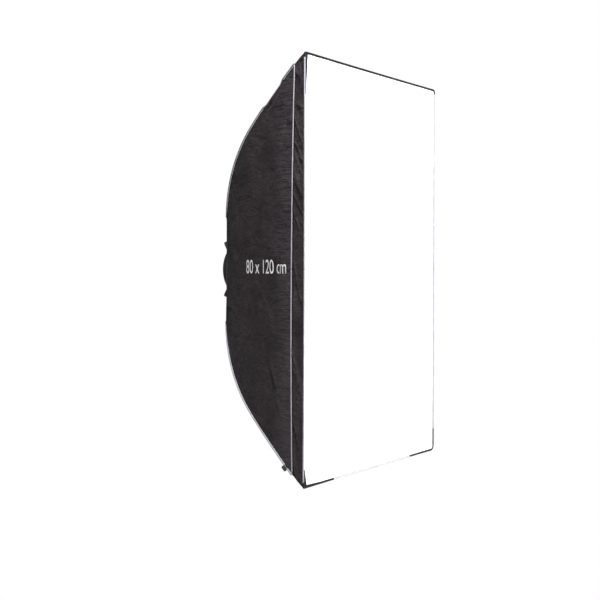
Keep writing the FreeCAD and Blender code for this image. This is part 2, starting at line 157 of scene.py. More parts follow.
# ---- nodes for materials ----
class Shader:
    """A material under construction: a Principled shader and short calls that add nodes to it."""

    def __init__(self, name, rough=0.6, metal=0.0, **sockets):
        self.material = bpy.data.materials.new(name)
        self.material.use_nodes = True
        self.tree = self.material.node_tree
        self.shader = self.tree.nodes["Principled BSDF"]
        self.shader.inputs["Roughness"].default_value = rough
        self.shader.inputs["Metallic"].default_value = metal
        for socket, value in sockets.items():
            self.shader.inputs[socket.replace("_", " ")].default_value = value
        self.bump = None

    def node(self, kind, inputs=None, **settings):
        """A new node; inputs feeds its sockets with other nodes' outputs, colours or numbers."""
        made = self.tree.nodes.new(kind)
        for key, value in settings.items():
            setattr(made, key, value)
        for key, value in (inputs or {}).items():
            if hasattr(value, "is_linked"):
                self.link(value, made.inputs[key])
            else:
                made.inputs[key].default_value = (*value, 1.0) if isinstance(value, tuple) else value
        return made

    def link(self, a, b):
        self.tree.links.new(a, b)

    def math(self, operation, *values):
        return self.node("ShaderNodeMath", dict(enumerate(values)), operation=operation).outputs[0]

    def parts(self, vector):
        return self.node("ShaderNodeSeparateXYZ", {0: vector}).outputs

    def cloth_plane(self):
        """(u, v) on the flat cloth, in metres."""
        return self.parts(self.node("ShaderNodeUVMap", uv_map="cloth").outputs[0])[:2]

    def stretched(self, at, scale):
        mapping = self.node("ShaderNodeMapping", {0: at})
        mapping.inputs["Scale"].default_value = scale
        return mapping.outputs[0]

    def place(self, scale=(1, 1, 1)):
        """The cloth's plane as a coordinate for textures, stretched by scale."""
        return self.stretched(self.node("ShaderNodeUVMap", uv_map="cloth").outputs[0], scale)

    def space(self, scale=(1, 1, 1)):
        """The object's own space as a coordinate for textures, stretched by scale."""
        return self.stretched(self.node("ShaderNodeTexCoord").outputs["Object"], scale)

    def noise(self, at, scale, detail=3.0, rough=0.55, warp=0.0):
        inputs = {"Vector": at, "Scale": scale, "Detail": detail, "Roughness": rough, "Distortion": warp}
        return self.node("ShaderNodeTexNoise", inputs).outputs["Fac"]

    def waves(self, kind, pitch):
        """A wave across the cloth and one along it, each crossing zero once in a pitch."""
        return [self.math(kind, self.math("MULTIPLY", axis, math.pi / pitch)) for axis in self.cloth_plane()]

    def threads(self, pitch):
        """Height of a plain weave with that thread pitch, from 0 to 1."""
        both = self.math("MULTIPLY", *self.waves("SINE", pitch))
        return self.math("MULTIPLY_ADD", both, 0.5, 0.5)

    def grid_lines(self, pitch, sharp=30.0):
        """Lines that cross every pitch both ways, 1 on a line and 0 between."""
        heights = (self.math("ABSOLUTE", wave) for wave in self.waves("COSINE", pitch))
        return self.math("MAXIMUM", *(self.math("POWER", height, sharp) for height in heights))

    def band(self, value, low, high):
        """0 where value is under low, 1 over high, and a smooth step between."""
        inputs = {"Value": value, "From Min": low, "From Max": high}
        return self.node("ShaderNodeMapRange", inputs, interpolation_type="SMOOTHSTEP").outputs[0]

    def colours(self, factor, dark, light, low=0.3, high=0.7):
        """From dark, where factor is low, to light, where it is high."""
        ramp = self.node("ShaderNodeValToRGB", {0: factor})
        for element, place, colour in zip(ramp.color_ramp.elements, (low, high), (dark, light)):
            element.position = place
            element.color = (*colour, 1.0)
        return ramp.outputs[0]

    def mixed(self, factor, a, b):
        return self.node("ShaderNodeMix", {0: factor, 6: a, 7: b}, data_type="RGBA").outputs[2]

    def paint(self, colour):
        self.link(colour, self.shader.inputs["Base Color"])

    def rough_between(self, factor, low, high):
        value = self.math("MULTIPLY_ADD", factor, high - low, low)
        self.link(value, self.shader.inputs["Roughness"])

    def raise_by(self, height, distance):
        """Adds a bump; distance is the height of the detail in metres."""
        made = self.node("ShaderNodeBump", {"Strength": 1.0, "Distance": distance, "Height": height})
        if self.bump is not None:
            self.link(self.bump, made.inputs["Normal"])
        self.bump = made.outputs[0]
        self.link(self.bump, self.shader.inputs["Normal"])


def times(factor, colour):
    """A colour made darker or lighter."""
    return tuple(factor * c for c in colour)


def shell_material(name, dark, light, rough, crumple, pucker_and_sheen_band=None):
    """Coated black cloth: fine weave, a faint grid, soft creases, and puckers towards a seam, with a painted
    sheen over them.

    The last argument gives the lengths, along the cloth, between which fine ripples build up and a painted
    sheen lightens the colour.
    """
    s = Shader(name, rough, Sheen_Weight=0.02, Sheen_Roughness=0.5, Specular_IOR_Level=0.12)
    plane = s.place()
    lines = s.grid_lines(0.0052)
    base = s.colours(s.noise(plane, 9.0, 4.0, 0.6), dark, light, 0.38, 0.62)
    slubs = s.noise(s.place((1.0, 0.12, 1.0)), 300.0, 4.0, 0.7)
    base = s.mixed(s.band(slubs, 0.35, 0.75), base, times(0.45, dark))
    base = s.mixed(s.math("MULTIPLY", lines, 0.30), base, times(1.6, light))
    # Painted sheen: the colour is lightened towards the lip seam, standing in for light caught by the rippled
    # cloth.
    if pucker_and_sheen_band:
        ripples_and_painted_sheen = s.band(s.cloth_plane()[1], *pucker_and_sheen_band)
        base = s.mixed(s.math("MULTIPLY", ripples_and_painted_sheen, 0.30), base, times(2.0, light))
    s.paint(base)
    s.rough_between(s.noise(plane, 30.0, 2.0), rough - 0.10, rough + 0.10)
    s.raise_by(s.noise(s.place((1.0, 0.55, 1.0)), 16.0, 3.0, 0.5, 0.6), crumple)
    s.raise_by(s.noise(s.place((1.0, 0.45, 1.0)), 60.0, 3.0, 0.6, 0.8), 0.35 * crumple)
    if pucker_and_sheen_band:
        ripple = s.noise(s.place((1.0, 0.10, 1.0)), 105.0, 2.0, 0.6, 0.3)
        s.raise_by(s.math("MULTIPLY", ripple, ripples_and_painted_sheen), 0.0060)
    s.raise_by(s.noise(plane, 120.0, 2.0, 0.6), 0.00018)
    s.raise_by(lines, 0.00010)
    s.raise_by(s.threads(0.00062), 0.00007)
    return s.material


def lining_material():
    """Silver coated lining with a fine grid."""
    s = Shader("silver_lining", 0.35, 0.75)
    plane = s.place()
    cloud = s.noise(plane, 14.0)
    s.paint(s.colours(cloud, (0.60, 0.60, 0.61), (0.74, 0.74, 0.75)))
    s.rough_between(cloud, 0.28, 0.45)
    s.raise_by(s.noise(plane, 45.0, 3.0, 0.6, 0.8), 0.0010)
    s.raise_by(s.grid_lines(0.0030, 12.0), 0.00015)
    return s.material


def piping_material(name, dark, light):
    """Pale satin bias tape over a cord, with a fine diagonal weave."""
    s = Shader(name, 0.5, Sheen_Weight=0.1)
    u, v = s.cloth_plane()
    s.paint(s.colours(s.noise(s.place(), 25.0), dark, light))
    turn = s.math("MULTIPLY", s.math("ADD", u, v), math.pi / 0.0006)
    s.raise_by(s.math("SINE", turn), 0.00008)
    s.raise_by(s.noise(s.place(), 160.0, 2.0), 0.0003)
    return s.material


def thread_material():
    """Twisted black sewing thread."""
    s = Shader("sewing_thread", 0.55)
    u, v = s.cloth_plane()
    s.paint(s.colours(s.noise(s.place(), 220.0, 2.0), (0.018, 0.017, 0.018), (0.05, 0.048, 0.05)))
    s.raise_by(s.math("SINE", s.math("MULTIPLY", s.math("ADD", u, v), 9000.0)), 0.00006)
    return s.material


def webbing_material():
    """Flat woven strap: ribs across it, crossed by a fine chevron."""
    s = Shader("black_webbing", 0.62, Sheen_Weight=0.08)
    u, v = s.cloth_plane()
    rib = s.math("SINE", s.math("MULTIPLY", v, math.pi / 0.0011))
    chevron = s.math("SINE", s.math("MULTIPLY", s.math("ADD", u, s.math("ABSOLUTE", v)), math.pi / 0.0016))
    s.paint(s.colours(s.noise(s.place(), 60.0), (0.010, 0.010, 0.011), (0.024, 0.023, 0.025)))
    s.raise_by(rib, 0.0002)
    s.raise_by(chevron, 0.0001)
    return s.material


def velcro_material():
    """Looped pile."""
    s = Shader("looped_pile", 0.9, Sheen_Weight=0.03, Specular_IOR_Level=0.1)
    plane = s.place()
    pile = s.noise(plane, 900.0, 2.0, 0.7)
    s.paint(s.colours(pile, (0.004, 0.004, 0.005), (0.016, 0.015, 0.017), 0.3, 0.75))
    s.raise_by(pile, 0.0008)
    s.raise_by(s.noise(plane, 70.0, 2.0), 0.0005)
    return s.material


def diffuser_material(name, shade, crumple):
    """White translucent cloth: plain weave, faint clouds and pressed folds."""
    s = Shader(name, 0.78)
    threads = s.threads(0.0008)
    base = s.colours(s.noise(s.place(), 7.0), times(0.97, shade), shade)
    s.paint(s.mixed(s.math("MULTIPLY", threads, 0.10), base, times(0.93, shade)))
    s.raise_by(s.noise(s.place((1.0, 0.7, 1.0)), 9.0, 3.0, 0.5, 0.5), crumple)
    s.raise_by(threads, 0.00008)
    return s.material


def ink_material():
    """White printing ink on the cloth: slightly broken by the weave, a little dirty."""
    s = Shader("white_print", 0.6)
    s.paint(s.colours(s.noise(s.place(), 90.0), times(0.66, WHITE), times(0.82, WHITE)))
    s.raise_by(s.threads(0.00062), 0.00007)
    return s.material


def anodised_material():
    """Satin black anodised aluminium, worn to bare metal in small spots."""
    s = Shader("black_anodised_metal", 0.42, 0.0, Coat_Weight=0.15)
    space = s.space()
    cloud = s.noise(space, 25.0)
    base = s.colours(cloud, (0.016, 0.016, 0.017), (0.030, 0.030, 0.032))
    worn = s.colours(s.noise(space, 120.0, 5.0, 0.7), times(0.0, WHITE), WHITE, 0.69, 0.73)
    s.paint(s.mixed(worn, base, (0.30, 0.30, 0.31)))
    s.rough_between(cloud, 0.34, 0.52)
    s.raise_by(s.noise(space, 900.0, 2.0), 0.00012)
    s.raise_by(s.math("MULTIPLY", worn, -1.0), 0.00008)
    return s.material


def turned_material(name, light, rough):
    """Bare turned metal: tool marks in rings about the Y axis, smudges and fine scratches."""
    s = Shader(name, rough, 1.0)
    x, y, z = s.parts(s.node("ShaderNodeTexCoord").outputs["Object"])
    radius = s.math("SQRT", s.math("ADD", s.math("MULTIPLY", x, x), s.math("MULTIPLY", z, z)))
    marks = s.math("SINE", s.math("MULTIPLY", s.math("ADD", radius, y), 9000.0))
    smudge = s.noise(s.space(), 40.0, 4.0, 0.65)
    s.paint(s.colours(smudge, times(0.82, light), light))
    s.rough_between(smudge, rough - 0.08, rough + 0.14)
    s.raise_by(marks, 0.00003)
    s.raise_by(s.noise(s.space((1, 14, 1)), 240.0, 2.0), 0.00004)
    return s.material


def moulded_material(name, dark, light, rough, grain):
    """Moulded plastic or rubber: fine spark-eroded grain and handled, shinier patches."""
    s = Shader(name, rough)
    space = s.space()
    s.paint(s.colours(s.noise(space, 60.0), dark, light))
    s.rough_between(s.noise(space, 35.0), rough - 0.12, rough + 0.10)
    s.raise_by(s.noise(space, 1400.0, 2.0), grain)
    return s.material


def fibre_material():
    """Pultruded fibre rod: long fibres under a thin resin skin."""
    s = Shader("fibre_rod", 0.35, Coat_Weight=0.3)
    fibres = s.noise(s.space((900.0, 30.0, 900.0)), 1.0, 3.0, 0.6)
    s.paint(s.colours(fibres, (0.010, 0.010, 0.010), (0.035, 0.033, 0.031)))
    s.rough_between(s.noise(s.space(), 50.0, 2.0), 0.28, 0.5)
    s.raise_by(fibres, 0.00005)
    return s.material


# ---- meshes ----
def add_object(name, data):
    made = bpy.data.objects.new(name, data)
    bpy.context.scene.collection.objects.link(made)
    return made


def loop_points(mesh):
    """The number of the point under each of a mesh's face corners."""
    numbers = np.zeros(len(mesh.loops), np.int32)
    mesh.loops.foreach_get("vertex_index", numbers)
    return numbers


def new_piece(name, points, faces, uvs, materials, face_slots=None):
    """A mesh object; uvs holds one (u, v) per point, in metres of cloth."""
    mesh = bpy.data.meshes.new(name)
    mesh.from_pydata([tuple(p) for p in points], [], faces)
    layer = mesh.uv_layers.new(name="cloth")
    layer.data.foreach_set("uv", np.asarray(uvs, np.float32)[loop_points(mesh)].ravel())
    for material in materials:
        mesh.materials.append(material)
    if face_slots is not None:
        mesh.polygons.foreach_set("material_index", np.asarray(face_slots, np.int32))
    mesh.polygons.foreach_set("use_smooth", [True] * len(mesh.polygons))
    return add_object(name, mesh)


def grid_normals(points):
    """Unit normals of a grid of points, one a point."""
    rows = np.gradient(points, axis=0)
    columns = np.gradient(points, axis=1)
    normals = np.cross(rows, columns)
    return normals / np.maximum(np.linalg.norm(normals, axis=2, keepdims=True), 1e-12)


def facing(points, towards):
    """Normals of a grid of points, turned so that its middle one points towards a direction."""
    normals = grid_normals(points)
    middle = normals[points.shape[0] // 2, points.shape[1] // 2]
    return normals if middle @ towards > 0 else -normals


def outward_normals(points):
    """Normals of a grid of points that point away from the box's axis."""
    return facing(points, points[points.shape[0] // 2, points.shape[1] // 2] * (1.0, 0.0, 1.0))


def grid_of(rows, columns, at):
    """Points and flat (u, v) of a grid; at gives both for a row and a column, each from 0 to 1."""
    made = [[at(i / rows, j / columns) for j in range(columns + 1)] for i in range(rows + 1)]
    points, flat = (np.array([[pair[q] for pair in row] for row in made]) for q in (0, 1))
    return points, flat


def cloth_piece(name, points, uvs, normals, thick, outside, inside):
    """A closed thin sheet from a grid: the given points outside, and thick further in."""
    rows, columns = points.shape[:2]
    inner = points - normals * thick
    count = rows * columns
    index = np.arange(count).reshape(rows, columns)
    quads = quads_of(rows, columns)
    if np.cross(points[1, 0] - points[0, 0], points[0, 1] - points[0, 0]) @ normals[0, 0] < 0:
        index = index[:, ::-1]
        quads = quads[:, ::-1]
    edge = list(index[0, :]) + list(index[1:, -1]) + list(index[-1, -2::-1]) + list(index[-2:0:-1, 0])
    rim = [(a, b, b + count, a + count) for a, b in zip(edge, edge[1:] + edge[:1])]
    faces = [tuple(q) for q in quads] + [tuple(q[::-1] + count) for q in quads] + rim
    slots = [0] * len(quads) + [1] * len(quads) + [0] * len(rim)
    both = np.concatenate([points.reshape(-1, 3), inner.reshape(-1, 3)])
    flat = np.concatenate([uvs.reshape(-1, 2)] * 2)
    piece = new_piece(name, both, faces, flat, (outside, inside), slots)
    mesh = piece.data
    out = normals.reshape(-1, 3)
    loops = np.concatenate([out, -out])[loop_points(mesh)]
    for polygon in mesh.polygons[2 * len(quads):]:
        loops[list(polygon.loop_indices)] = polygon.normal
    mesh.normals_split_custom_set([tuple(n) for n in loops])
    return piece


def place(side, n, y, k):
    """A point n out from the axis towards a side, at y, and k along that side."""
    sx, sz = SIDES[side]
    return np.array((n * sx + k * abs(sz), y, n * sz + k * abs(sx)))


def corner_of(cx, cz):
    return next(name for name, signs in CORNERS.items() if signs == (cx, cz))


def end_of(side, sign):
    """The corner at one end of a side: sign is -1 or 1."""
    sx, sz = SIDES[side]
    return corner_of(sx or sign, sz or sign)


def corner_sides(corner):
    """The two sides that meet at a corner, each with the sign of that corner across it."""
    cx, cz = CORNERS[corner]
    return (("left" if cx < 0 else "right", cz), ("top" if cz > 0 else "bottom", cx))


def ease(t):
    t = min(1.0, max(0.0, t))
    return t * t * (3 - 2 * t)


def half_length(side, s, off=SEAM_OFF):
    """Half of a side's length between its corner seams, at a length along the rod."""
    r, _, _ = bow(s, off)
    return r * (HALF_H if SIDES[side][0] else HALF_W) / HALF_D


def on_side(side, k, s, off=SEAM_OFF):
    """A point of the taut drum and its outward normal: k across the side, s along the rod."""
    wide = HALF_W if SIDES[side][0] else HALF_H
    r, y, angle = bow(s, off)
    n, half = r * wide / HALF_D, half_length(side, s, off)
    across = k * half
    sign = 1 if k > 0 else -1
    radius = 0.001 + CORNER_ROUND[end_of(side, sign)] * ease((s - S3 + 0.03) / 0.03)
    into = 1 - (half - abs(across)) / radius
    if into > 0:
        turn = into * math.pi / 4
        n -= radius * (1 - math.cos(turn))
        across = sign * (half - radius + radius * math.sin(turn))
    normal = place(side, math.cos(angle), math.sin(angle) * wide / HALF_D, 0.0)
    return place(side, n, y, across), normal / np.linalg.norm(normal)


def finer(grid):
    """Doubles a grid's resolution both ways by the four-point rule."""
    for axis in (0, 1):
        g = np.moveaxis(grid, axis, 0)
        p = np.concatenate([2 * g[:1] - g[1:2], g, 2 * g[-1:] - g[-2:-1]])
        out = np.empty((2 * len(g) - 1,) + g.shape[1:])
        out[::2] = g
        out[1::2] = (9 * (p[1:-2] + p[2:-1]) - p[:-3] - p[3:]) / 16
        grid = np.moveaxis(out, 0, axis)
    return grid


def quads_of(rows, columns):
    index = np.arange(rows * columns).reshape(rows, columns)
    return np.stack([index[:-1, :-1], index[1:, :-1], index[1:, 1:], index[:-1, 1:]], axis=-1).reshape(-1, 4)


def drape(points, held, slack, stiff):
    """Lets a grid of cloth settle between its held points; slack is the spare length at each, as a share."""
    rows, columns = points.shape[:2]
    mesh = bpy.data.meshes.new("draping")
    mesh.from_pydata([tuple(p) for p in points.reshape(-1, 3)], [], quads_of(rows, columns).tolist())
    piece = add_object("draping", mesh)
    most = float(slack.max())
    for name, weights in (("held", held), ("spare", slack / most)):
        group = piece.vertex_groups.new(name=name)
        for i, weight in enumerate(weights.reshape(-1)):
            group.add([i], float(weight), "REPLACE")
    cloth = piece.modifiers.new("cloth", "CLOTH")
    settings = cloth.settings
    settings.quality = 5
    settings.mass = 0.15
    settings.air_damping = 4.0
    settings.tension_stiffness = settings.compression_stiffness = 30.0
    settings.shear_stiffness = 8.0
    settings.bending_stiffness = stiff
    settings.vertex_group_mass = "held"
    settings.vertex_group_shrink = "spare"
    settings.shrink_max = -most
    settings.effector_weights.gravity = 0.25
    cloth.collision_settings.use_collision = False
    cloth.point_cache.frame_end = DRAPE_FRAMES
    for number in range(1, DRAPE_FRAMES + 1):
        bpy.context.scene.frame_set(number)
    draped = piece.evaluated_get(bpy.context.evaluated_depsgraph_get())
    flat = np.zeros(rows * columns * 3)
    draped.data.vertices.foreach_get("co", flat)
    bpy.data.objects.remove(piece)
    bpy.context.scene.frame_set(1)
    return flat.reshape(points.shape)


def settled(before, after):
    """Takes the draped shape, but lets no point sink more than SINK under where it started."""
    normals = outward_normals(before)
    sunk = np.sum((after - before) * normals, axis=2, keepdims=True)
    return after + normals * np.maximum(0.0, -SINK - sunk)


class Sheet:
    """One side's cloth between two lengths along the rod, as a grid with its flat (u, v) and normals."""

    def __init__(self, side, first, last, cells, lift, spare, stiff):
        """first and last are the lengths at a place k across; lift is the height over the drum."""
        self.first, self.last = first, last
        rows, columns = cells
        steps = np.linspace(-1, 1, columns + 1)
        self.ks = steps + 0.2 * np.sin(math.pi * steps)  # closer together towards the corners
        points = np.zeros((rows + 1, columns + 1, 3))
        flat = np.zeros((rows + 1, columns + 1, 2))
        slack = np.zeros((rows + 1, columns + 1))
        for j, k in enumerate(self.ks):
            for i in range(rows + 1):
                s = first(k) + (last(k) - first(k)) * i / rows
                p, normal = on_side(side, k, s)
                across = k * half_length(side, s)
                points[i, j] = p + normal * lift(k, s, across)
                flat[i, j] = (across, s)
                slack[i, j] = spare(last(k) - s)
        held = np.zeros(points.shape[:2])
        held[0, :] = held[-1, :] = held[:, 0] = held[:, -1] = 1.0
        self.points, self.flat = finer(settled(points, drape(points, held, slack, stiff))), finer(flat)
        self.ks = finer(self.ks[:, None].repeat(2, axis=1))[:, 0]
        self.normals = outward_normals(self.points)

    def at(self, k, s, off=0.0):
        """A point off above the cloth, and the cloth's normal there."""
        rows, columns = self.points.shape[:2]
        j = float(np.interp(k, self.ks, np.arange(columns)))
        run = (s - self.first(k)) / (self.last(k) - self.first(k))
        i = min(rows - 1.0, max(0.0, run * (rows - 1)))
        i0, j0 = min(rows - 2, int(i)), min(columns - 2, int(j))
        a, b = i - i0, j - j0
        point, normal = ((1 - b) * ((1 - a) * g[i0, j0] + a * g[i0 + 1, j0])
                         + b * ((1 - a) * g[i0, j0 + 1] + a * g[i0 + 1, j0 + 1])
                         for g in (self.points, self.normals))
        normal /= np.linalg.norm(normal)
        return point + normal * off, normal

    def half(self, sign):
        """The grid columns from the middle to one end."""
        middle = self.points.shape[1] // 2
        return slice(middle, None) if sign > 0 else slice(0, middle + 1)


def declare_sheet(piece, points):
    """Works out a grid of cloth's longest runs both ways and its area, and keeps none of them."""
    long_rows = np.linalg.norm(np.diff(points, axis=0), axis=2).sum(axis=0).max()
    long_columns = np.linalg.norm(np.diff(points, axis=1), axis=2).sum(axis=1).max()
    a, b = points[1:, 1:] - points[:-1, :-1], points[1:, :-1] - points[:-1, 1:]
    area = 0.5 * np.linalg.norm(np.cross(a, b), axis=2).sum()


def follow(piece, side, sign):
    """Bakes a piece's transform into its mesh."""
    reach = (HALF_H if SIDES[side][0] else HALF_W) / SATURATE
    end = place(side, 0.0, 0.0, sign * reach)
    "rod_" + end_of(side, sign)
    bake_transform(piece)


def half_cloth(name, sheet, sign, outside, inside, rows=slice(None), depth=0.0, thick=CLOTH):
    """Half of a side's cloth, or a strip of its rows sewn on at a depth under it, as a closed thin sheet."""
    part = sheet.half(sign)
    normals = sheet.normals[rows, part]
    points = sheet.points[rows, part] - normals * depth
    return cloth_piece(name, points, sheet.flat[rows, part], normals, thick, outside, inside), points


def tube(name, path, radius, material):
    """A round bar along a path of points, with capped ends."""
    path = np.asarray(path, float)
    tangents = np.gradient(path, axis=0)
    tangents /= np.linalg.norm(tangents, axis=1, keepdims=True)
    side = np.cross(tangents[0], (0.3, 0.5, 0.8))
    points, uvs = [], []
    length = 0.0
    for i, (p, t) in enumerate(zip(path, tangents)):
        side = side - t * (side @ t)
        side /= np.linalg.norm(side)
        up = np.cross(t, side)
        length += np.linalg.norm(p - path[i - 1]) if i else 0.0
        for q in range(TUBE_SIDES):
            a = 2 * math.pi * q / TUBE_SIDES
            points.append(p + radius * (math.cos(a) * side + math.sin(a) * up))
            uvs.append((a * radius, length))
    faces = []
    for first in range(0, (len(path) - 1) * TUBE_SIDES, TUBE_SIDES):
        for q in range(TUBE_SIDES):
            a, b = first + q, first + (q + 1) % TUBE_SIDES
            faces.append((a, b, b + TUBE_SIDES, a + TUBE_SIDES))
    faces.append(tuple(range(TUBE_SIDES))[::-1])
    faces.append(tuple(range(len(points) - TUBE_SIDES, len(points))))
    return new_piece(name, points, faces, uvs, (material,))


# ---- the cloth's height over the taut drum ----
# A crease runs between two places of the cloth, each (length along the rod, distance across the
# side), with a height and a width.
LEFT_CREASES = (((0.702, 0.501), (0.634, 0.377), -0.0050, 0.007),
                ((0.732, 0.455), (0.686, 0.345), -0.0050, 0.007),
                ((0.565, 0.442), (0.716, 0.541), -0.0045, 0.007),
                ((0.563, -0.228), (0.715, -0.474), -0.0032, 0.009),
                ((0.580, -0.212), (0.732, -0.458), 0.0028, 0.010),
                ((0.479, -0.088), (0.652, -0.092), -0.0028, 0.009))
LEFT_LIP_CREASES = (((0.768, -0.166), (0.816, -0.125), -0.0045, 0.005),)


def random_creases(side, size, count, low, high):
    """Creases of about a size in metres, scattered over a side between two lengths along the rod."""
    draw = random.Random(side)
    made = []
    for _ in range(count):
        s = draw.uniform(low, high)
        across = draw.uniform(-0.85, 0.85) * half_length(side, s)
        run, turn = draw.uniform(0.5, 1.0) * size, draw.uniform(-1.2, 1.2)
        end = (s - run * math.cos(turn), across + run * math.sin(turn))
        made.append(((s, across), end, draw.choice((-1, 1)) * draw.uniform(0.008, 0.018) * size, 0.07 * size))
    return made


def crease_height(creases, s, across):
    """The height that straight creases, tapering at both ends, add at a place of the cloth."""
    total = 0.0
    for (s0, a0), (s1, a1), height, width in creases:
        ds, da = s1 - s0, a1 - a0
        length = math.hypot(ds, da)
        aside = abs((s - s0) * da - (across - a0) * ds) / length
        if aside < 3 * width:
            run = ((s - s0) * ds + (across - a0) * da) / length ** 2
            total += height * math.exp(-(aside / width) ** 2) * ease(3 * run) * ease(3 - 3 * run)
    return total


def ridged(u, v, seed, sharp):
    """Thin ridges from 0 to 1, along the zero lines of a noise."""
    return (1 - abs(noise.noise(Vector((u, v, seed))))) ** sharp


def lip_line(side, k):
    """Length along the rod at which a side's lip is sewn on."""
    low, high = (LIP_AT[end_of(side, sign)] for sign in (-1, 1))
    return S3 - low - (high - low) * (k + 1) / 2 - LIP_PULL * (1 - k * k)


def panel_lift(side):
    """Height of a panel's cloth: pulled in between its seams, with creases from packing and sewing."""
    seed = 3.7 * list(SIDES).index(side)
    creases = LEFT_CREASES if side == "left" else random_creases(side, 0.16, 9, 0.45, 0.74)

    def lift(k, s, across):
        from_seam = (1 - abs(k)) * half_length(side, s)
        from_lip = lip_line(side, k) - s
        run = (s - REAR_EDGE) / (s - REAR_EDGE + from_lip)
        hold = ease((s - REAR_EDGE) / 0.05) * ease(from_lip / 0.012) * ease(from_seam / 0.02)
        sag = -0.004 * (1 - k * k) * math.sin(math.pi * run)
        soft = 0.0012 * noise.noise(Vector((across * 7, s * 5, seed)))
        fine = 0.0005 * noise.noise(Vector((across * 28 + s * 9, s * 22, seed + 5)))
        crease = 0.0018 * ridged(across * 5 + s * 3, s * 4 - across * 2, seed + 9, 16)
        crease += crease_height(creases, s, across)
        pleat = 0.0040 * math.exp(-from_lip / 0.03) * noise.noise(Vector((across * 45, seed, s * 6)))
        pucker = 0.0014 * math.exp(-from_seam / 0.03) * noise.noise(Vector((s * 60, seed, 1.0)))
        sewn = 0.0008 * ease(from_seam / 0.002) * (1 - ease((from_seam - ALLOWANCE + 0.002) / 0.003))
        return sag + hold * (soft + fine + crease + pleat + pucker) + sewn

    return lift


def lip_lift(side):
    """Height of a lip's softer cloth: it crumples between its two seams."""
    seed = 11.3 + 2.9 * list(SIDES).index(side)
    creases = LEFT_LIP_CREASES if side == "left" else random_creases(side, 0.05, 9, S3 - 0.03, S3 - 0.01)

    def lift(k, s, across):
        behind, before = s - lip_line(side, k), S3 - s
        from_seam = (1 - abs(k)) * half_length(side, s)
        hold = ease(behind / 0.014) * ease(before / 0.014) * ease(from_seam / 0.02)
        dip = -0.0028 * ease(behind / 0.002) * (1 - ease((behind - 0.003) / 0.005)) * ease(from_seam / 0.01)
        slack = 0.0036 * noise.noise(Vector((across * 18 + s * 14, s * 20, seed)))
        small = 0.0020 * noise.noise(Vector((across * 62 - s * 35, s * 45, seed + 3)))
        fold = 0.0044 * ridged(across * 16 + s * 22, s * 9, seed + 7, 10)
        pull = -0.0014 * (1 - k * k) * behind / (behind + before)
        return dip + pull + hold * (slack + small + fold - 0.0010 + crease_height(creases, s, across))

    return lift


# ---- the shell ----
# The shell's colour is lightened near the lip seam as a painted sheen.
SHELL = shell_material("shell_ripstop", (0.0165, 0.0130, 0.0150), (0.036, 0.0285, 0.0325), 0.60, 0.0090,
                       pucker_and_sheen_band=(S3 - 0.210, S3 - 0.090))
LIP_CLOTH = shell_material("lip_cloth", (0.0200, 0.0150, 0.0165), (0.043, 0.0335, 0.0360), 0.62, 0.0110)
LINING = lining_material()
PIPING = piping_material("piping_tape", (0.22, 0.21, 0.245), (0.34, 0.325, 0.375))
# A lighter copy of the piping tape for the bottom's front piping: painted light, where light from above falls
# on it.
PAINTED_LIT_PIPING = piping_material("piping_tape_painted_lit", (0.36, 0.35, 0.38), (0.48, 0.47, 0.50))
THREAD = thread_material()
WEBBING = webbing_material()
PILE = velcro_material()
INK = ink_material()
FRONT_CLOTH = diffuser_material("front_diffuser_cloth", (0.90, 0.90, 0.90), 0.0022)
INNER_CLOTH = diffuser_material("inner_diffuser_cloth", (0.88, 0.88, 0.885), 0.0035)
PANELS, LIPS = {}, {}
PIPING_OFF = SEAM_OFF + PIPING_R + 0.0003


def stand_for(piece, node):
    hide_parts(node)
    return piece


def spare_in_panel(from_lip):
    """Spare cloth in a panel, as a share of its size: gathered into the lip's seam."""
    return 0.0003 + 0.014 * math.exp(-from_lip / 0.04)


def make_shell():
    """Four panels, four lips and their hook-and-loop strips, each in two halves that meet unseen."""
    for side, (sx, _) in SIDES.items():
        def seam(k, at=side):
            return lip_line(at, k)

        panel_cells, lip_cells = ((74, 140), (14, 280)) if sx else ((74, 100), (14, 190))
        PANELS[side] = Sheet(side, lambda k: REAR_EDGE, seam, panel_cells, panel_lift(side), spare_in_panel,
                             PANEL_STIFF)
        LIPS[side] = Sheet(side, seam, lambda k: S3, lip_cells, lip_lift(side), lambda before: LIP_SPARE,
                           LIP_STIFF)
        for sign in (-1, 1):
            make_panel_half(side, sign)
            make_lip_half(side, sign)


def make_panel_half(side, sign):
    """Half a panel with its rear hem and its two rows of stitches."""
    sheet = PANELS[side]
    end = end_of(side, sign)
    piece, points = half_cloth(f"{side}_panel_{end}", sheet, sign, SHELL, LINING)
    hem, _ = half_cloth(f"{side}_hem_{end}", sheet, sign, WEBBING, WEBBING, HEM_ROWS, -0.0012, 0.0010)
    hem_run = cross_run(side, sign, REAR_EDGE, lambda k: REAR_EDGE + HEM_STITCH_IN)
    rows = [stitches(f"{side}_seam_stitches_{end}", sheet, seam_run(side, sign)),
            stitches(f"{side}_hem_stitches_{end}", sheet, hem_run, 0.0014)]
    for part in [piece, hem] + rows:
        stand_for(part, side + "_panel")
        follow(part, side, sign)
    declare_sheet(piece, points)


def make_lip_half(side, sign):
    """Half a lip with its stitches, the tape over its seam and the loop strip inside it."""
    sheet = LIPS[side]
    end = end_of(side, sign)
    piece, points = half_cloth(f"{side}_lip_{end}", sheet, sign, LIP_CLOTH, LINING)
    lip_run = cross_run(side, sign, S3, lambda k: lip_line(side, k) + LIP_STITCH_IN)
    row = stitches(f"{side}_lip_stitches_{end}", sheet, lip_run)
    strip, _ = half_cloth(f"{side}_loop_strip_{end}", sheet, sign, PILE, PILE, LOOP_STRIP_ROWS,
                          CLOTH + 0.0003, TAPE)
    tape, _ = half_cloth(f"{side}_seam_tape_{end}", sheet, sign, PILE, PILE, SEAM_TAPE_ROWS, -0.0005, 0.0004)
    stand_for(strip, "lip_velcro")
    for part in (piece, row, tape):
        stand_for(part, side + "_lip")
    for part in (piece, row, strip, tape):
        follow(part, side, sign)
    declare_sheet(piece, points)


